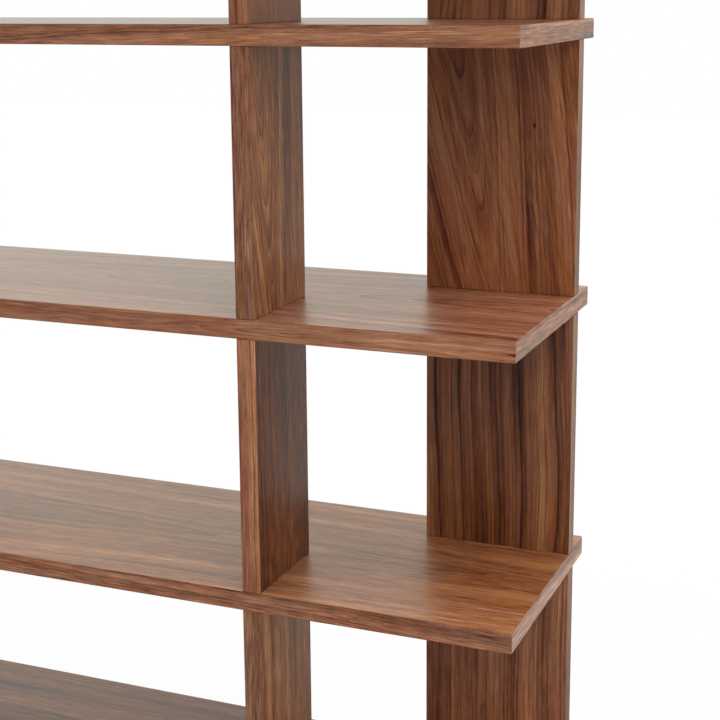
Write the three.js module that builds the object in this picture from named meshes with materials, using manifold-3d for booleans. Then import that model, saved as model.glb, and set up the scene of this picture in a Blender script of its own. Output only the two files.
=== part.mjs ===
// Open bookshelf of walnut-veneered boards, made to stand free in a room.
// Every tier stands on four short uprights. A wide panel stands near the back at each end, parallel to the
// front, and a narrow fin stands square to it at the front edge further in, so that the line of support
// zigzags from the back to the front and back again along the length.
// Nothing shows how the uprights are held: loose tenons key them through the boards.
// Lengths are millimetres. X runs along the boards, the front faces -Y, and Z rises from the floor.

import * as THREE from 'three';
import { mergeVertices } from 'three/addons/utils/BufferGeometryUtils.js';
import Module from 'manifold-3d';

const wasm = await Module();
wasm.setup();

// Boards
const boardLength = 1200;
const boardDepth = 340;
const boardThickness = 25;

// Tiers
const tierCount = 5;
const clearHeight = 325;

// End panels: wide, parallel to the front, flush with the boards' ends
const panelWidth = 200;
const panelThickness = 25;
const panelSetback = 50;

// Fins: narrow, square to the front, flush with the boards' front edge
const finDepth = 150;
const finThickness = 25;
const finInset = 325;

// Eased edges of every board and upright
const arris = 0.8;

// Loose tenons and their mortises
const tenonThickness = 10;
const tenonMargin = 35;
const tenonReach = 30;
const tenonChamfer = 1;
const mortiseClearance = 0.3;
const glueSpace = 1;
const blindFloor = 10;

// Push-in glides under the bottom board
const glideRadius = 12;
const glideHeight = 5;
const glideRim = 1.5;
const glideInset = 45;
const stemRadius = 4;
const stemLength = 11;
const stemTaper = 0.8;
const stemClearance = 0.3;

// How far a cutter passes the face that it opens
const overrun = 1;

// Facets: an arc of a round end has twice its count
const arcSegments = 3;
const glideSides = 16;

const walnutBoard = { color: 0x8a5a41, roughness: 0.42, metalness: 0 };
const walnutUpright = { color: 0x7b4a33, roughness: 0.42, metalness: 0 };
const beech = { color: 0xc9a27a, roughness: 0.7, metalness: 0 };
const nylon = { color: 0x3a3633, roughness: 0.5, metalness: 0 };

const tierPitch = boardThickness + clearHeight;
const blindDepth = boardThickness - blindFloor;
const mortiseReach = tenonReach + glueSpace;

// The closed surface of a geometry as a solid that can be cut
function toSolid(geometry) {
  const bare = geometry.clone();
  bare.deleteAttribute('normal');
  bare.deleteAttribute('uv');
  const merged = mergeVertices(bare);
  const mesh = new wasm.Mesh({
    numProp: 3,
    vertProperties: new Float32Array(merged.attributes.position.array),
    triVerts: new Uint32Array(merged.index.array),
  });
  return new wasm.Manifold(mesh);
}

function toGeometry(solid) {
  const mesh = solid.getMesh();
  const geometry = new THREE.BufferGeometry();
  geometry.setAttribute('position', new THREE.BufferAttribute(mesh.vertProperties, 3));
  geometry.setIndex(new THREE.BufferAttribute(mesh.triVerts, 1));
  geometry.computeVertexNormals();
  return geometry;
}

function cut(geometry, cutters) {
  let solid = toSolid(geometry);
  for (const cutter of cutters) {
    solid = solid.subtract(toSolid(cutter));
  }
  return toGeometry(solid);
}

// A rectangular piece standing on Z = 0, with all of its twelve edges eased
function easedBlock(sizeX, sizeY, height) {
  const x = sizeX / 2;
  const y = sizeY / 2;
  const outline = new THREE.Shape();
  outline.moveTo(-x + arris, -y);
  outline.lineTo(x - arris, -y);
  outline.lineTo(x, -y + arris);
  outline.lineTo(x, y - arris);
  outline.lineTo(x - arris, y);
  outline.lineTo(-x + arris, y);
  outline.lineTo(-x, y - arris);
  outline.lineTo(-x, -y + arris);
  outline.closePath();
  const block = new THREE.ExtrudeGeometry(outline, {
    depth: height - 2 * arris,
    bevelThickness: arris,
    bevelSize: arris,
    bevelOffset: -arris,
    bevelSegments: 1,
  });
  return block.translate(0, 0, arris);
}

// A flat outline with round ends, whose long way is along the greater size
function roundEnded(sizeX, sizeY) {
  const radius = Math.min(sizeX, sizeY) / 2;
  const reach = Math.max(sizeX, sizeY) / 2 - radius;
  const turn = sizeX > sizeY ? 0 : Math.PI / 2;
  const endX = reach * Math.cos(turn);
  const endY = reach * Math.sin(turn);
  const outline = new THREE.Shape();
  outline.absarc(endX, endY, radius, turn - Math.PI / 2, turn + Math.PI / 2);
  outline.absarc(-endX, -endY, radius, turn + Math.PI / 2, turn + 1.5 * Math.PI);
  outline.closePath();
  return outline;
}

// The upright's section in plan, with the section of the tenon that keys it
function upright(name, x, y, sizeX, sizeY) {
  const alongX = sizeX > sizeY;
  const tenonWidth = Math.max(sizeX, sizeY) - 2 * tenonMargin;
  const tenonX = alongX ? tenonWidth : tenonThickness;
  const tenonY = alongX ? tenonThickness : tenonWidth;
  return { name, x, y, sizeX, sizeY, tenonX, tenonY };
}

const panelX = (boardLength - panelWidth) / 2;
const panelY = (boardDepth - panelThickness) / 2 - panelSetback;
const finX = (boardLength - finThickness) / 2 - finInset;
const finY = (finDepth - boardDepth) / 2;

// Uprights of one tier from left to right: back, front, front, back
const uprights = [
  upright('left_panel', -panelX, panelY, panelWidth, panelThickness),
  upright('left_fin', -finX, finY, finThickness, finDepth),
  upright('right_fin', finX, finY, finThickness, finDepth),
  upright('right_panel', panelX, panelY, panelWidth, panelThickness),
];

// The tenon's section, grown by its clearance and run from one height to another
function mortise({ tenonX, tenonY }, x, y, from, to) {
  const section = roundEnded(tenonX + 2 * mortiseClearance, tenonY + 2 * mortiseClearance);
  const cutter = new THREE.ExtrudeGeometry(section, {
    depth: to - from,
    bevelEnabled: false,
    curveSegments: arcSegments,
  });
  return cutter.translate(x, y, from);
}

// An upright has a blind mortise in each end
function uprightGeometry(plan) {
  const lower = mortise(plan, 0, 0, -overrun, mortiseReach);
  const upper = mortise(plan, 0, 0, clearHeight - mortiseReach, clearHeight + overrun);
  return cut(easedBlock(plan.sizeX, plan.sizeY, clearHeight), [lower, upper]);
}

// A tenon stands on Z = 0
function tenonGeometry({ tenonX, tenonY }, length) {
  const tenon = new THREE.ExtrudeGeometry(roundEnded(tenonX, tenonY), {
    depth: length - 2 * tenonChamfer,
    bevelThickness: tenonChamfer,
    bevelSize: tenonChamfer,
    bevelOffset: -tenonChamfer,
    bevelSegments: 1,
    curveSegments: arcSegments,
  });
  return tenon.translate(0, 0, tenonChamfer);
}

const glideX = boardLength / 2 - glideInset;
const glideY = boardDepth / 2 - glideInset;
const glidePlaces = [];
for (const [column, x] of [['left', -glideX], ['middle', 0], ['right', glideX]]) {
  for (const [row, y] of [['front', -glideY], ['back', glideY]]) {
    glidePlaces.push({ name: `glide_${column}_${row}`, x, y });
  }
}

// A disc with a rounded-off rim and a stem that is pushed up into the board
function glideGeometry() {
  const profile = [
    new THREE.Vector2(0, 0),
    new THREE.Vector2(glideRadius - glideRim, 0),
    new THREE.Vector2(glideRadius, glideRim),
    new THREE.Vector2(glideRadius, glideHeight),
    new THREE.Vector2(stemRadius, glideHeight),
    new THREE.Vector2(stemRadius, glideHeight + stemLength - stemTaper),
    new THREE.Vector2(stemRadius - stemTaper, glideHeight + stemLength),
    new THREE.Vector2(0, glideHeight + stemLength),
  ];
  return new THREE.LatheGeometry(profile, glideSides).rotateX(Math.PI / 2);
}

function stemBore({ x, y }) {
  const depth = stemLength + stemClearance;
  const bore = new THREE.CylinderGeometry(
    stemRadius + stemClearance,
    stemRadius + stemClearance,
    depth + overrun,
    glideSides,
  );
  return bore.rotateX(Math.PI / 2).translate(x, y, (depth - overrun) / 2);
}

// Where the mortises of a board start and end: blind in the outer boards, through the others
function mortiseSpan(level) {
  if (level === 0) {
    return [blindFloor, boardThickness + overrun];
  }
  if (level === tierCount) {
    return [-overrun, blindDepth];
  }
  return [-overrun, boardThickness + overrun];
}

function boardGeometry(level) {
  const [from, to] = mortiseSpan(level);
  const cutters = uprights.map((plan) => mortise(plan, plan.x, plan.y, from, to));
  if (level === 0) {
    cutters.push(...glidePlaces.map(stemBore));
  }
  return cut(easedBlock(boardLength, boardDepth, boardThickness), cutters);
}

// Where the tenons of a board start and end, from the board's underside
function tenonSpan(level) {
  if (level === 0) {
    return [blindFloor + glueSpace, boardThickness + tenonReach];
  }
  if (level === tierCount) {
    return [-tenonReach, blindDepth - glueSpace];
  }
  return [-tenonReach, boardThickness + tenonReach];
}

function boardName(level) {
  if (level === 0) {
    return 'bottom_board';
  }
  return level === tierCount ? 'top_board' : `shelf_${level}`;
}

const group = new THREE.Group();

function addPiece(name, geometry, look, x, y, z) {
  const mesh = new THREE.Mesh(geometry, new THREE.MeshStandardMaterial(look));
  mesh.name = name;
  mesh.position.set(x, y, z);
  group.add(mesh);
}

for (const { name, x, y } of glidePlaces) {
  addPiece(name, glideGeometry(), nylon, x, y, 0);
}

for (let level = 0; level <= tierCount; level += 1) {
  const underside = glideHeight + level * tierPitch;
  const [tenonFrom, tenonTo] = tenonSpan(level);
  addPiece(boardName(level), boardGeometry(level), walnutBoard, 0, 0, underside);
  for (const plan of uprights) {
    const name = `${boardName(level)}_${plan.name}_tenon`;
    addPiece(name, tenonGeometry(plan, tenonTo - tenonFrom), beech, plan.x, plan.y, underside + tenonFrom);
  }
}

for (let tier = 1; tier <= tierCount; tier += 1) {
  const foot = glideHeight + tier * tierPitch - clearHeight;
  for (const plan of uprights) {
    addPiece(`tier_${tier}_${plan.name}`, uprightGeometry(plan), walnutUpright, plan.x, plan.y, foot);
  }
}

export default group;
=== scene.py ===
"""Dresses the open walnut bookshelf: veneered boards and uprights on a pale floor in soft studio light.

Metres, in the frame's own axes: X along the boards, the front faces -Y, Z up from the floor.
"""

import math
import random
from dataclasses import dataclass
from itertools import zip_longest

import bmesh
import bpy
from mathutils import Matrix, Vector


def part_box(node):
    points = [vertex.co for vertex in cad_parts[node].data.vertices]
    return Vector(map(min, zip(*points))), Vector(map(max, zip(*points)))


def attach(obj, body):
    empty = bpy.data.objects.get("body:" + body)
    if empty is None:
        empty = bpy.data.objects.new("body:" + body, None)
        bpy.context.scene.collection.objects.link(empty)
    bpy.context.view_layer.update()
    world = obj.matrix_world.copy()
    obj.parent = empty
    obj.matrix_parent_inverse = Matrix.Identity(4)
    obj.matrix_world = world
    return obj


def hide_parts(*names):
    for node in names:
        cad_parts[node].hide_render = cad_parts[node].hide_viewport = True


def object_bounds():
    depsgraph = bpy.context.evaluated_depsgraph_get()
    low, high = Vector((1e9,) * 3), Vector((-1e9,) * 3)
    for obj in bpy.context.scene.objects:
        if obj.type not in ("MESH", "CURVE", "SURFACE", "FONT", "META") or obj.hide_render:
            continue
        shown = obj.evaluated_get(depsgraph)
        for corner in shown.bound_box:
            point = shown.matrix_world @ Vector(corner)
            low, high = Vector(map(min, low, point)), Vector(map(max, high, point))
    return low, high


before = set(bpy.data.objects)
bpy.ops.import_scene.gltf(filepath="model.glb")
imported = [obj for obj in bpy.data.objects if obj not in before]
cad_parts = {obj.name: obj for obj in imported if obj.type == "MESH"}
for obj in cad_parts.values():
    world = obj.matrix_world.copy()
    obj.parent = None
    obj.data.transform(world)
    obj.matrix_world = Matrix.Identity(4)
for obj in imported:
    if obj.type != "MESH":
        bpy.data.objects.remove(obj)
cad_low, cad_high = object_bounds()
scene = bpy.context.scene

TIERS = 5
STACKS = ("left_panel", "left_fin", "right_fin", "right_panel")
BOARDS = ("bottom_board", "shelf_1", "shelf_2", "shelf_3", "shelf_4", "top_board")
UPRIGHTS = tuple(f"tier_{tier}_{stack}" for tier in range(1, TIERS + 1) for stack in STACKS)


# Short calls that build a node tree

class Tree:
    """Adds nodes to a tree. What a call returns is a socket, and a socket or a value can be given to it."""

    def __init__(self, tree):
        self.tree = tree
        tree.nodes.clear()

    def node(self, kind, **settings):
        made = self.tree.nodes.new(kind)
        for name, value in settings.items():
            setattr(made, name, value)
        return made

    def put(self, socket, value):
        """Links the value to the socket if it is a socket too, or else sets it there."""
        if isinstance(value, bpy.types.NodeSocket):
            self.tree.links.new(value, socket)
        else:
            socket.default_value = value

    def fill(self, made, *values):
        """Gives the node's first inputs their values, and returns its first output."""
        for socket, value in zip(made.inputs, values):
            self.put(socket, value)
        return made.outputs[0]

    def math(self, operation, *values):
        return self.fill(self.node("ShaderNodeMath", operation=operation), *values)

    def add(self, a, b):
        return self.math("ADD", a, b)

    def sub(self, a, b):
        return self.math("SUBTRACT", a, b)

    def mul(self, a, b):
        return self.math("MULTIPLY", a, b)

    def vector(self, x, y, z):
        return self.fill(self.node("ShaderNodeCombineXYZ"), x, y, z)

    def parts(self, vector):
        made = self.node("ShaderNodeSeparateXYZ")
        self.put(made.inputs[0], vector)
        return made.outputs

    def attribute(self, name):
        return self.node("ShaderNodeAttribute", attribute_name=name).outputs["Vector"]

    def noise(self, x, y, z, detail=2.0, roughness=0.5):
        """Smooth noise of about -0.5 to 0.5, a feature for each unit of x, y and z."""
        made = self.node("ShaderNodeTexNoise", noise_dimensions="3D")
        self.put(made.inputs["Vector"], self.vector(x, y, z))
        self.put(made.inputs["Scale"], 1.0)
        self.put(made.inputs["Detail"], detail)
        self.put(made.inputs["Roughness"], roughness)
        return self.sub(made.outputs["Fac"], 0.5)

    def chance(self, x, y):
        """A fixed random number from 0 to 1 for each whole x and y."""
        made = self.node("ShaderNodeTexWhiteNoise", noise_dimensions="2D")
        self.put(made.inputs["Vector"], self.vector(x, y, 0.0))
        return made.outputs["Value"]

    def span(self, value, low, high, to_low=0.0, to_high=1.0):
        """Goes smoothly from to_low to to_high while the value goes from low to high."""
        made = self.node("ShaderNodeMapRange", interpolation_type="SMOOTHSTEP")
        return self.fill(made, value, low, high, to_low, to_high)

    def mix(self, factor, a, b):
        """Colour a where the factor is 0 and b where it is 1. Inputs 6 and 7 and output 2 are the colours."""
        made = self.node("ShaderNodeMix", data_type="RGBA")
        self.put(made.inputs[0], factor)
        self.put(made.inputs[6], a)
        self.put(made.inputs[7], b)
        return made.outputs[2]

    def ramp(self, value, *stops):
        """A colour from stops, each with its place from 0 to 1."""
        made = self.node("ShaderNodeValToRGB")
        elements = made.color_ramp.elements
        while len(elements) < len(stops):
            elements.new(0.5)
        for element, (at, colour) in zip(elements, stops):
            element.position = at
            element.color = colour
        self.put(made.inputs[0], value)
        return made.outputs[0]

    def rays(self):
        """Whether a ray is one that the camera sees, also through glass, and whether gloss sees it."""
        path = self.node("ShaderNodeLightPath")
        seen = self.math("MAXIMUM", path.outputs["Is Camera Ray"], path.outputs["Is Transmission Ray"])
        return seen, path.outputs["Is Glossy Ray"]

    def show(self, output, shader):
        """Puts the shader on an output node of that kind."""
        out = self.node(output)
        self.put(out.inputs[0], shader.outputs[0])

    def surface(self, inputs):
        """Puts a Principled shader with these inputs, given by name, on the material's output."""
        shader = self.node("ShaderNodeBsdfPrincipled")
        for name, value in inputs.items():
            self.put(shader.inputs[name], value)
        self.show("ShaderNodeOutputMaterial", shader)


def new_material(name):
    """A material and its empty tree."""
    material = bpy.data.materials.new(name)
    material.use_nodes = True
    return material, Tree(material.node_tree)


def rgb(red, green, blue):
    """An sRGB colour of 0 to 255 as Blender's linear RGBA."""
    def linear(value):
        value /= 255
        return value / 12.92 if value <= 0.04045 else ((value + 0.055) / 1.055) ** 2.4
    return (linear(red), linear(green), linear(blue), 1.0)


# Walnut veneer

POLISH = 0.44            # roughness of the wood
LACQUER = 0.30           # roughness of the coat on it
LACQUER_COVER = 0.6
LACQUER_IOR = 1.5
PORE_DEPTH = 0.00008
RELIEF = 0.4             # share of that depth that shows
BEND = 0.030             # range of the trunk's bends aside
SWELL = 0.022            # range of its swelling along the grain
RIPPLE = 0.0055          # range of the rings' ripples
PIN_STRETCH = 1.7        # how much longer a pin knot is than it is wide
VEINS = ("vein_1", "vein_2", "vein_3", "vein_4")


def walnut():
    """Sliced walnut. Each face's corners say where they are on the leaf, and each face how its leaf was cut.

    leaf: across the grain, along the grain, and a number of the leaf's own.
    cut: the heart's place across, the slice's distance from the heart, and the rings' taper along the grain.
    tone: lightness, saturation and strength of the figure.
    figure: strength of the fine grain, width of a growth ring, and shift of hue.
    vein_1 to vein_4: a darker ring's distance from the heart, its half width, and its strength.
    pin: the place across and along of a pin knot, and its radius.
    """
    material, t = new_material("walnut_veneer")
    across, along, seed = t.parts(t.attribute("leaf"))
    heart, depth, taper = t.parts(t.attribute("cut"))
    light, rich, strength = t.parts(t.attribute("tone"))
    grain, width, hue = t.parts(t.attribute("figure"))
    pin_across, pin_along, pin_radius = t.parts(t.attribute("pin"))

    def marks(place, times, times_along, own=0.0, detail=2.0, roughness=0.5):
        """Noise with so many features to a unit of the place and to a metre of grain. own sets it apart."""
        return t.noise(t.mul(place, times), t.mul(along, times_along), t.add(seed, own), detail, roughness)

    # How far each point is from the heart, with the trunk's bends
    bend = marks(across, 4.0, 1.9, detail=1.0)
    ripple = marks(across, 26.0, 9.0, own=4.3)
    swell = t.noise(t.mul(along, 3.1), t.mul(seed, 1.3), 2.1, detail=1.0)
    side = t.add(t.sub(across, heart), t.mul(bend, BEND))
    away = t.add(depth, t.mul(swell, SWELL))
    radius = t.math("SQRT", t.add(t.mul(side, side), t.mul(away, away)))
    radius = t.add(t.add(radius, t.mul(taper, along)), t.mul(ripple, RIPPLE))

    # Growth rings of uneven width. The late wood of each is a line that darkens outwards and ends sharply.
    uneven = t.noise(t.mul(radius, 60.0), seed, 8.2, detail=1.0)
    ring = t.add(t.math("DIVIDE", radius, width), t.mul(uneven, 2.0))
    turn = t.math("FRACT", ring)
    number = t.math("FLOOR", ring)
    fade = marks(number, 7.3, 5.0, detail=0.0)
    bold = t.mul(t.math("POWER", t.chance(number, seed), 1.7), t.span(fade, -0.2, 0.2, 0.35, 1.0))
    edge = t.span(turn, 1.0, 0.95)
    slope = t.mul(t.span(turn, 0.1, 0.95), edge)
    spike = t.mul(t.span(turn, 0.74, 0.95), edge)
    line = t.mul(t.add(t.mul(slope, 0.45), t.mul(spike, 0.55)), t.add(t.mul(bold, 0.88), 0.12))

    # Heartwood: broad bands, dark and pale streaks, and a faint mottle
    band = marks(radius, 40.0, 1.1, own=11.0)
    streak = marks(side, 240.0, 3.4, own=17.0, detail=3.0, roughness=0.6)
    stain = t.span(marks(radius, 70.0, 2.4, own=41.0), 0.12, 0.26)
    pale = t.span(marks(radius, 330.0, 2.2, own=53.0, detail=1.0), 0.17, 0.30)
    mottle = marks(across, 90.0, 40.0, own=61.0, detail=1.0)

    # The veins and the pin knot that a face names
    veins = 0.0
    for name in VEINS:
        place, half_width, dark = t.parts(t.attribute(name))
        off = t.math("DIVIDE", t.sub(radius, place), half_width)
        fall = t.math("EXPONENT", t.mul(t.mul(off, off), -1.0))
        veins = t.add(veins, t.mul(fall, t.mul(dark, t.add(0.8, streak))))
    pin_x = t.math("DIVIDE", t.sub(across, pin_across), pin_radius)
    pin_y = t.math("DIVIDE", t.sub(along, pin_along), t.mul(pin_radius, PIN_STRETCH))
    pin = t.span(t.add(t.mul(pin_x, pin_x), t.mul(pin_y, pin_y)), 1.4, 0.2)

    # Fine grain: bundles of fibres, single fibres and open pores
    comb = marks(across, 340.0, 34.0, own=47.0, detail=3.0, roughness=0.6)
    fibre = marks(across, 800.0, 24.0, own=23.0, detail=3.0, roughness=0.65)
    vessel = marks(across, 1100.0, 90.0, own=31.0, roughness=0.6)
    pore = t.span(vessel, 0.13, 0.22)
    fine = t.sub(t.add(t.mul(comb, 0.26), t.mul(fibre, 0.62)), t.mul(pore, 0.24))

    # All of it together as a shade from dark to pale, and its colour, which drifts a little in hue
    shade = 0.0
    for part, weight in ((line, -0.54), (band, 1.0), (streak, 0.45), (stain, -0.24), (pale, 0.16)):
        shade = t.add(shade, t.mul(part, weight))
    shade = t.mul(shade, strength)
    shade = t.sub(t.sub(shade, veins), t.mul(pin, 0.35))
    shade = t.add(shade, t.mul(mottle, 0.12))
    shade = t.add(shade, t.mul(fine, grain))
    colour = t.ramp(
        t.add(shade, 0.62),
        (0.0, rgb(50, 17, 6)),
        (0.25, rgb(93, 44, 23)),
        (0.5, rgb(133, 80, 53)),
        (0.75, rgb(165, 110, 76)),
        (1.0, rgb(203, 146, 101)),
    )
    drift = marks(radius, 150.0, 4.0, own=71.0)
    wash = marks(side, 130.0, 6.0, own=83.0)
    toned = t.node("ShaderNodeHueSaturation")
    t.put(toned.inputs["Hue"], t.add(t.add(0.5, hue), t.mul(drift, 0.028)))
    t.put(toned.inputs["Saturation"], t.mul(rich, t.add(1.0, t.mul(wash, 0.30))))
    t.put(toned.inputs["Value"], light)
    t.put(toned.inputs["Color"], colour)

    bump = t.node("ShaderNodeBump")
    t.put(bump.inputs["Height"], t.sub(t.mul(fibre, 0.5), pore))
    t.put(bump.inputs["Distance"], PORE_DEPTH)
    t.put(bump.inputs["Strength"], RELIEF)
    t.surface({
        "Base Color": toned.outputs[0],
        "Roughness": t.add(POLISH, t.add(t.mul(fibre, 0.08), t.mul(pore, 0.10))),
        "IOR": LACQUER_IOR,
        "Coat Weight": LACQUER_COVER,
        "Coat Roughness": LACQUER,
        "Coat IOR": LACQUER_IOR,
        "Normal": bump.outputs[0],
    })
    return material


# The leaves

@dataclass
class Vein:
    """A darker or, with a strength below zero, paler ring."""
    place: tuple             # (across, along) of a point on the ring, from the middle of the face
    half_width: float
    strength: float


@dataclass
class Leaf:
    """One leaf of veneer on its face. Places are (across, along), from the middle of the face."""
    number: float            # tells its figure from another leaf's
    heart: float             # the heart's place across
    depth: float             # how far from the heart the leaf was sliced
    taper: float = 0.0       # how the rings' distance from the heart grows along the grain
    lean: float = 0.0        # how far the grain leans across, per length along
    light: float = 1.0       # below one for darker wood
    rich: float = 1.04       # below one for darker wood; on the boards' right ends above one, partly as painted sheen
    strength: float = 1.0    # of the figure
    grain: float = 1.3       # strength of the fine grain
    width: float = 0.006     # of a growth ring
    hue: float = 0.0         # towards yellow above zero
    veins: tuple = ()        # up to four
    pin: tuple = None        # the place of a pin knot

    def on_leaf(self, across, along):
        return across - self.lean * along, along

    def ring(self, across, along):
        """The distance from the heart of the ring that passes through a place."""
        side, along = self.on_leaf(across, along)
        return math.hypot(side - self.heart, self.depth) + self.taper * along


FAR_HEART = 0.30         # how far across the heart of a straight-grained leaf is
FAR_SLICE = 0.10         # how far from the heart such a leaf was sliced


def crowned(heart, depth, taper, lean=0.0, **rest):
    """A leaf sliced near the heart, whose rings close into crowns."""
    return dict(heart=heart, depth=depth, taper=taper, lean=lean, **rest)


def straight(side, lean=0.0, **rest):
    """A straight-grained leaf, with its heart far off across: side is 1 or -1."""
    return dict(heart=side * FAR_HEART, depth=FAR_SLICE, taper=0.0, lean=lean, **rest)


# What the photograph shows of the leaves, read with a ruler. The rest of each is drawn by chance.
SEEN = {
    # End panels
    ("tier_5_right_panel", "front"): crowned(
        heart=-0.10, depth=0.04, taper=-0.05,
        number=4, light=0.87, rich=1.05, strength=1.1, grain=1.0,
    ),
    ("tier_4_right_panel", "front"): crowned(
        heart=-0.032, depth=0.014, taper=-0.11, lean=-0.19,
        number=8, light=0.96, rich=1.10, strength=1.15, grain=1.15,
        veins=(
            Vein((0.035, 0.0), 0.006, 0.24),
            Vein((-0.040, 0.042), 0.0018, 0.22),
            Vein((-0.042, 0.09), 0.004, 0.12),
            Vein((-0.029, -0.014), 0.002, -0.10),
        ),
        pin=(0.044, 0.055),
    ),
    ("tier_3_right_panel", "front"): straight(
        side=1, lean=-0.01,
        number=14, light=0.73, rich=1.09, strength=1.5, grain=1.1,
        veins=(
            Vein((0.004, 0.0), 0.012, 0.20),
            Vein((-0.048, 0.0), 0.005, 0.10),
            Vein((0.018, 0.0), 0.002, -0.15),
            Vein((-0.062, 0.0), 0.002, -0.12),
        ),
    ),
    ("tier_2_right_panel", "front"): straight(
        side=-1,
        number=1, light=0.93, rich=1.06, strength=1.35,
        veins=(Vein((-0.067, 0.0), 0.006, 0.12), Vein((0.022, 0.0), 0.005, 0.10)),
    ),
    # Fins' sides
    ("tier_4_right_fin", "right"): crowned(
        heart=-0.037, depth=0.014, taper=-0.12, lean=-0.09,
        number=13, hue=0.005, light=1.06, rich=1.08, strength=1.4, grain=2.3,
        veins=(
            Vein((0.028, 0.0), 0.006, 0.16),
            Vein((-0.045, 0.082), 0.002, 0.14),
            Vein((-0.028, -0.064), 0.0015, 0.16),
        ),
    ),
    ("tier_3_right_fin", "right"): straight(
        side=-1,
        number=7, light=0.84, rich=1.14, strength=1.3, grain=3.2,
        veins=(Vein((0.0, 0.0), 0.5, 0.22), Vein((-0.032, 0.0), 0.003, 0.10)),
    ),
    ("tier_2_right_fin", "right"): straight(
        side=1,
        number=6, hue=0.006, light=1.22, rich=1.04, strength=1.4, grain=2.1,
        veins=(Vein((0.024, 0.0), 0.004, 0.13), Vein((0.068, 0.0), 0.004, 0.13)),
    ),
    ("tier_5_right_fin", "right"): dict(light=0.72),
    # Shelves' tops
    ("shelf_3", "top"): crowned(
        heart=0.01, depth=0.03, taper=-0.08,
        number=8, light=1.29, rich=0.98, strength=1.0, grain=2.1,
    ),
    ("shelf_2", "top"): crowned(
        heart=-0.007, depth=0.012, taper=0.05,
        number=3, hue=0.006, light=1.38, rich=1.03, strength=0.9, grain=1.8,
        veins=(Vein((0.041, -0.26), 0.005, 0.20), Vein((-0.007, 0.095), 0.002, 0.12)),
    ),
    ("shelf_1", "top"): straight(
        side=1,
        number=2, light=0.72, rich=1.04, strength=1.1, grain=2.0,
        veins=(Vein((0.125, 0.0), 0.02, 0.16),),
    ),
    # Fins' front edges
    ("tier_4_right_fin", "front"): straight(
        side=1, lean=0.006,
        width=0.0042, light=0.79, rich=1.03, strength=0.9, grain=2.2,
        veins=(
            Vein((-0.008, 0.0), 0.0006, 0.14),
            Vein((0.002, 0.0), 0.0008, 0.12),
            Vein((0.009, 0.0), 0.0006, 0.12),
        ),
    ),
    ("tier_3_right_fin", "front"): straight(
        side=-1, lean=-0.006,
        width=0.0042, light=1.09, rich=1.03, strength=1.0, grain=1.3,
        veins=(Vein((-0.006, 0.0), 0.0008, 0.12), Vein((0.006, 0.0), 0.0006, 0.10)),
    ),
    ("tier_2_right_fin", "front"): straight(
        side=1,
        width=0.0042, light=0.68, rich=1.04, strength=0.9, grain=2.2,
        veins=(Vein((-0.002, 0.0), 0.0008, 0.10),),
    ),
    ("tier_5_right_fin", "front"): dict(light=0.88),
    # Shelves' front edges and right ends
    ("shelf_4", "front_edge"): straight(
        side=-1, lean=0.03,
        width=0.0035, light=0.96, rich=1.02, strength=0.65, grain=1.8,
        veins=(
            Vein((0.0, -0.45), 0.005, 0.15),
            Vein((-0.006, -0.10), 0.001, 0.22),
            Vein((0.0, 0.45), 0.006, -0.10),
        ),
    ),
    ("shelf_3", "front_edge"): crowned(
        heart=-0.002, depth=0.004, taper=-0.02,
        width=0.0030, light=1.02, rich=1.02, strength=1.0, grain=1.2,
        veins=(Vein((-0.002, 0.32), 0.0012, 0.16), Vein((-0.002, 0.50), 0.003, -0.06)),
    ),
    ("shelf_2", "front_edge"): straight(
        side=1, lean=-0.03,
        width=0.0035, light=1.00, rich=1.02, strength=0.7, grain=2.0,
        veins=(
            Vein((-0.002, 0.20), 0.0012, 0.22),
            Vein((0.004, 0.50), 0.006, 0.22),
            Vein((0.004, 0.05), 0.003, -0.10),
        ),
    ),
    # The right ends are lighter and less rich: partly their own paler tone, partly painted sheen, the pale
    # gloss of a glancing view put into their colour
    ("shelf_4", "right_end"): dict(light=1.30, rich=1.04, strength=1.5, grain=2.4),
    ("shelf_3", "right_end"): dict(light=1.50, rich=0.88, strength=0.9, grain=2.4),
    ("shelf_2", "right_end"): dict(light=1.48, rich=0.84, strength=1.0, grain=2.0),
}
CROWNED_SHARE = 0.4      # of the leaves drawn by chance
NARROW = 0.05            # a face less wide than this has straight grain when drawn by chance


def leaf_of(node, face, narrow):
    """A leaf drawn by chance, crowned or straight, with what the photograph shows of it."""
    chance = random.Random(f"{node} {face}")
    drawn = dict(
        number=chance.uniform(0.0, 90.0),
        heart=chance.choice((-1, 1)) * chance.uniform(0.22, 0.34),
        depth=chance.uniform(0.08, 0.2),
        lean=chance.uniform(-0.02, 0.02),
        light=chance.uniform(0.85, 1.05),
        rich=chance.uniform(1.0, 1.06),
    )
    crown = crowned(
        heart=chance.uniform(-0.06, 0.06),
        depth=chance.uniform(0.03, 0.06),
        taper=chance.choice((-1, 1)) * chance.uniform(0.03, 0.1),
    )
    if chance.random() < CROWNED_SHARE and not narrow:
        drawn.update(crown)
    drawn.update(SEEN.get((node, face), {}))
    return Leaf(**drawn)


# A face's leaf by the way that it looks: its name, the axis across the grain and the axis along it
X, Y, Z = range(3)
BOARD_FACES = {
    (X, 1): ("right_end", Z, Y), (X, -1): ("left_end", Z, Y),
    (Y, 1): ("back_edge", Z, X), (Y, -1): ("front_edge", Z, X),
    (Z, 1): ("top", Y, X), (Z, -1): ("under", Y, X),
}
UPRIGHT_FACES = {
    (X, 1): ("right", Y, Z), (X, -1): ("left", Y, Z),
    (Y, 1): ("back", X, Z), (Y, -1): ("front", X, Z),
    (Z, 1): ("head", X, Z), (Z, -1): ("foot", X, Z),
}

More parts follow.
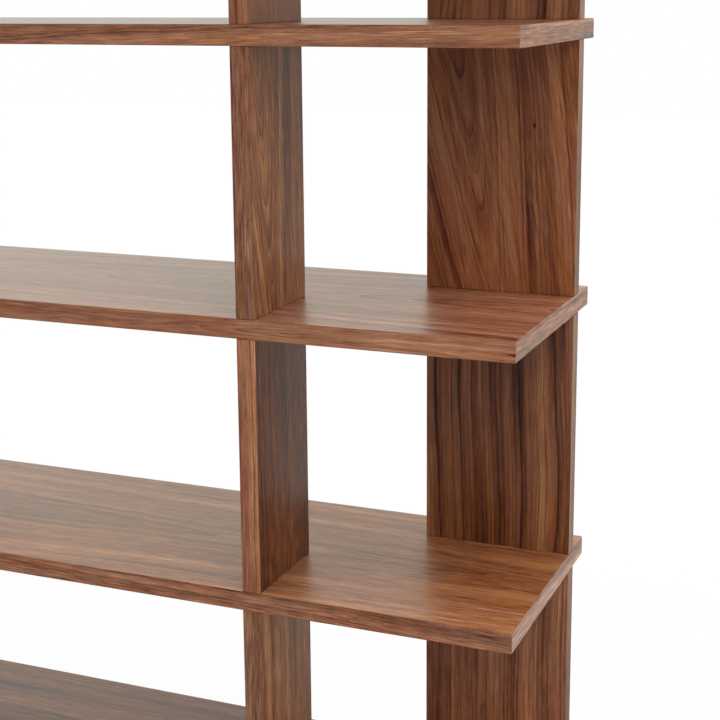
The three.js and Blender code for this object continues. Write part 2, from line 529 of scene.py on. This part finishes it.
PIN_RADIUS = 0.0022
FAR_AWAY = (9.0, 9.0)                # the pin knot's place on a leaf without one
NO_VEIN = (0.0, 0.01, 0.0)           # without strength
SAME_POINT = 1e-6                    # corners no further apart than this are one
SAME_PLANE = math.radians(1)         # faces that turn less than this are one
SQUARE_ON = 0.999                    # the cosine from which a face looks along an axis
SAME_SIDE = 0.5                      # the cosine from which an arris takes a flat face's normal


def lay_leaves(bm, node, faces):
    """Writes on each face what leaf it wears, and on its corners where they are on that leaf."""
    low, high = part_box(node)
    middle = (low + high) / 2
    leaf = bm.loops.layers.float_vector.new("leaf")
    on_faces = bm.faces.layers.float_vector
    cut, tone, *veins, pin, figure = [on_faces.new(name) for name in ("cut", "tone", *VEINS, "pin", "figure")]
    leaves = {}
    for name, across, along in faces.values():
        leaves[name] = leaf_of(node, name, (high - low)[across] < NARROW)
    for face in bm.faces:
        axis = max((X, Y, Z), key=lambda i: abs(face.normal[i]))
        name, across, along = faces[axis, 1 if face.normal[axis] > 0 else -1]
        laid = leaves[name]
        face[cut] = (laid.heart, laid.depth, laid.taper)
        face[tone] = (laid.light, laid.rich, laid.strength)
        face[figure] = (laid.grain, laid.width, laid.hue)
        face[pin] = (*(laid.on_leaf(*laid.pin) if laid.pin else FAR_AWAY), PIN_RADIUS)
        for layer, vein in zip_longest(veins, laid.veins):
            face[layer] = (laid.ring(*vein.place), vein.half_width, vein.strength) if vein else NO_VEIN
        for loop in face.loops:
            place = loop.vert.co - middle
            loop[leaf] = (*laid.on_leaf(place[across], place[along]), laid.number)


def even_normals(mesh):
    """Flat faces shade flat up to their borders, and each arris turns from one of them to the next."""
    flats = {}
    for face in mesh.polygons:
        if max(abs(part) for part in face.normal) > SQUARE_ON:
            for corner in face.vertices:
                flats.setdefault(corner, []).append(face.normal.copy())
    normals = []
    for face in mesh.polygons:
        for corner in face.vertices:
            beside = [normal for normal in flats.get(corner, ()) if normal.dot(face.normal) > SAME_SIDE]
            normals.append(beside[0] if beside else face.normal.copy())
    mesh.normals_split_custom_set(normals)


def veneered(node, faces, material):
    """Replaces the node with a copy of its solid that has leaves on its faces and softly shaded arrises."""
    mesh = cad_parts[node].data.copy()
    mesh.name = node + "_veneered"
    bm = bmesh.new()
    bm.from_mesh(mesh)
    bmesh.ops.remove_doubles(bm, verts=bm.verts, dist=SAME_POINT)
    bmesh.ops.dissolve_limit(bm, angle_limit=SAME_PLANE, verts=bm.verts, edges=bm.edges)
    lay_leaves(bm, node, faces)
    for face in bm.faces:
        face.smooth = True
    bm.to_mesh(mesh)
    bm.free()
    even_normals(mesh)
    mesh.materials.clear()
    mesh.materials.append(material)
    piece = bpy.data.objects.new(node + "_wood", mesh)
    scene.collection.objects.link(piece)
    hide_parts(node)
    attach(piece, "root")


# The loose tenons and the glides keep their own solids

def beech():
    """Pale beech, its short flecks along the tenon."""
    material, t = new_material("beech")
    x, y, z = t.parts(t.node("ShaderNodeTexCoord").outputs["Object"])
    grain = t.noise(t.mul(x, 700.0), t.mul(y, 700.0), t.mul(z, 40.0), detail=3.0)
    fleck = t.span(t.noise(t.mul(x, 1400.0), t.mul(y, 1400.0), t.mul(z, 260.0), detail=1.0), 0.12, 0.2)
    shade = t.sub(t.add(t.mul(grain, 0.8), 0.55), t.mul(fleck, 0.35))
    colour = t.ramp(shade, (0.0, rgb(158, 112, 74)), (0.5, rgb(203, 162, 119)), (1.0, rgb(224, 192, 152)))
    t.surface({"Base Color": colour, "Roughness": 0.62})
    return material


def nylon():
    """Dark moulded nylon with a faint mould texture."""
    material, t = new_material("nylon")
    x, y, z = t.parts(t.node("ShaderNodeTexCoord").outputs["Object"])
    spark = t.noise(t.mul(x, 2400.0), t.mul(y, 2400.0), t.mul(z, 2400.0), detail=1.0)
    colour = t.ramp(t.add(spark, 0.5), (0.0, rgb(50, 48, 46)), (1.0, rgb(68, 65, 61)))
    t.surface({"Base Color": colour, "Roughness": t.add(t.mul(spark, 0.1), 0.5)})
    return material


INNER = {"tenon": beech(), "glide": nylon()}
for name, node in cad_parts.items():
    for kind, material in INNER.items():
        if kind in name:
            for slot in node.material_slots:
                slot.material = material

veneer = walnut()
for board in BOARDS:
    veneered(board, BOARD_FACES, veneer)
for upright in UPRIGHTS:
    veneered(upright, UPRIGHT_FACES, veneer)


# Floor, light and camera

WHITE = (1.0, 1.0, 1.0, 1.0)
CREAM = (0.98, 1.02, 0.935, 1.0)     # the studio's tint where gloss sees it
FLOOR_GREY = (0.85, 0.85, 0.85, 1.0)
FLOOR_SIZE = 30.0
FLOOR_GLOW = 0.93                    # share of white in the floor; the rest is matt and keeps the shadow
WHITER = (0.3, 3.0)                  # from where to where along Y the floor turns fully white
NEAR_STEP = (0.2, 1.2)               # from where to where along Y gloss sees it brighten near the unit
BACKDROP_STEPS = (                   # the same further back, and by how much it brightens
    (0.8, 1.7, 0.24),
    (3.0, 4.2, 0.30),
)
BACKDROP_END = (2.3, 1.5)            # where along X the backdrop has ended, and where it starts to fade


def stage_floor():
    """A pale floor: near white to the camera, with the object's shadow left on it.

    Gloss sees it brighter towards the back, and there brighter at the left than at the right.
    """
    bpy.ops.mesh.primitive_plane_add(size=FLOOR_SIZE, location=(0.0, 0.0, cad_low.z))
    floor = bpy.context.object
    floor.name = "floor"
    material, t = new_material("pale_floor")
    seen, glossy = t.rays()
    x, y, _ = t.parts(t.node("ShaderNodeNewGeometry").outputs["Position"])
    backdrop = 0.0
    for start, end, brighter in BACKDROP_STEPS:
        backdrop = t.add(backdrop, t.span(y, start, end, 0.0, brighter))
    backdrop = t.mul(backdrop, t.span(x, *BACKDROP_END))
    gloss = t.add(t.span(y, *NEAR_STEP, 0.05, 0.25), backdrop)
    far = t.span(y, *WHITER, 1.0, 1.02)
    white = t.node("ShaderNodeEmission")
    t.put(white.inputs["Color"], t.mix(glossy, WHITE, CREAM))
    t.put(white.inputs["Strength"], t.add(t.mul(seen, far), t.mul(glossy, gloss)))
    matt = t.node("ShaderNodeBsdfDiffuse")
    t.put(matt.inputs["Color"], FLOOR_GREY)
    mixed = t.node("ShaderNodeMixShader")
    glow = t.mul(t.math("MAXIMUM", seen, glossy), FLOOR_GLOW)
    t.fill(mixed, glow, matt.outputs[0], white.outputs[0])
    t.show("ShaderNodeOutputMaterial", mixed)
    floor.data.materials.append(material)


def studio_world():
    """White to the camera. Gloss sees it white behind the object, dimmer at the right and dark in front."""
    world = bpy.data.worlds.new("studio")
    world.use_nodes = True
    scene.world = world
    t = Tree(world.node_tree)
    seen, glossy = t.rays()
    x, y, z = t.parts(t.node("ShaderNodeTexCoord").outputs["Generated"])

    # What gloss sees, by the direction in which it looks
    behind = t.span(y, -0.2, 0.5, 0.05, 1.0)
    right = t.span(x, 0.2, 0.5, 1.0, 0.1)
    high = t.span(z, 0.15, 0.6, 1.0, 0.75)
    left = t.span(x, -0.3, -0.6, 1.0, 1.24)
    gloss = t.mul(t.mul(behind, left), t.mul(right, high))

    # What matt surfaces see: soft white, less of it low on the right and none from below
    shaded = t.mul(t.span(x, 0.0, 0.7), t.span(z, 0.55, 0.3))
    soft = t.mul(t.sub(0.94, t.mul(shaded, 0.27)), t.span(z, -0.05, 0.05))

    unseen = t.add(t.mul(glossy, gloss), t.mul(t.sub(1.0, glossy), soft))
    background = t.node("ShaderNodeBackground")
    t.put(background.inputs["Color"], t.mix(glossy, WHITE, CREAM))
    t.put(background.inputs["Strength"], t.add(seen, t.mul(t.sub(1.0, seen), unseen)))
    t.show("ShaderNodeOutputWorld", background)


AIM = (0.0, 0.0, 0.9)                # what the lamps face: about the unit's middle


def softbox(name, place, size, power, glare=True):
    """A square lamp that faces AIM. Without glare, gloss doesn't show it."""
    data = bpy.data.lights.new(name, "AREA")
    data.shape = "SQUARE"
    data.size = size
    data.energy = power
    lamp = bpy.data.objects.new(name, data)
    lamp.location = place
    lamp.rotation_euler = (Vector(AIM) - Vector(place)).to_track_quat("-Z", "Y").to_euler()
    lamp.visible_glossy = glare
    scene.collection.objects.link(lamp)


VIEWPOINT = (1.052, -1.737, 1.473)
VIEW_ANGLES = (78.68, 0.43, 22.12)   # degrees: up from straight down, roll, and left of straight ahead
FOCAL_LENGTH = 74.5                  # millimetres, like the sensor's width
SENSOR_WIDTH = 36.0
SHIFT = -0.106                       # of the picture's frame upwards, as a share of its width


def camera():
    """The photograph's viewpoint, from the edges of the boards and uprights that it shows."""
    data = bpy.data.cameras.new("camera")
    data.sensor_width = SENSOR_WIDTH
    data.lens = FOCAL_LENGTH
    data.shift_y = SHIFT
    body = bpy.data.objects.new("camera", data)
    body.location = VIEWPOINT
    body.rotation_euler = [math.radians(angle) for angle in VIEW_ANGLES]
    scene.collection.objects.link(body)
    scene.camera = body


stage_floor()
studio_world()
softbox("key_light", place=(2.2, -1.05, 3.5), size=2.4, power=46.0, glare=False)
softbox("left_light", place=(-3.2, -0.8, 1.6), size=1.6, power=12.0)
camera()
scene.view_settings.view_transform = "Standard"
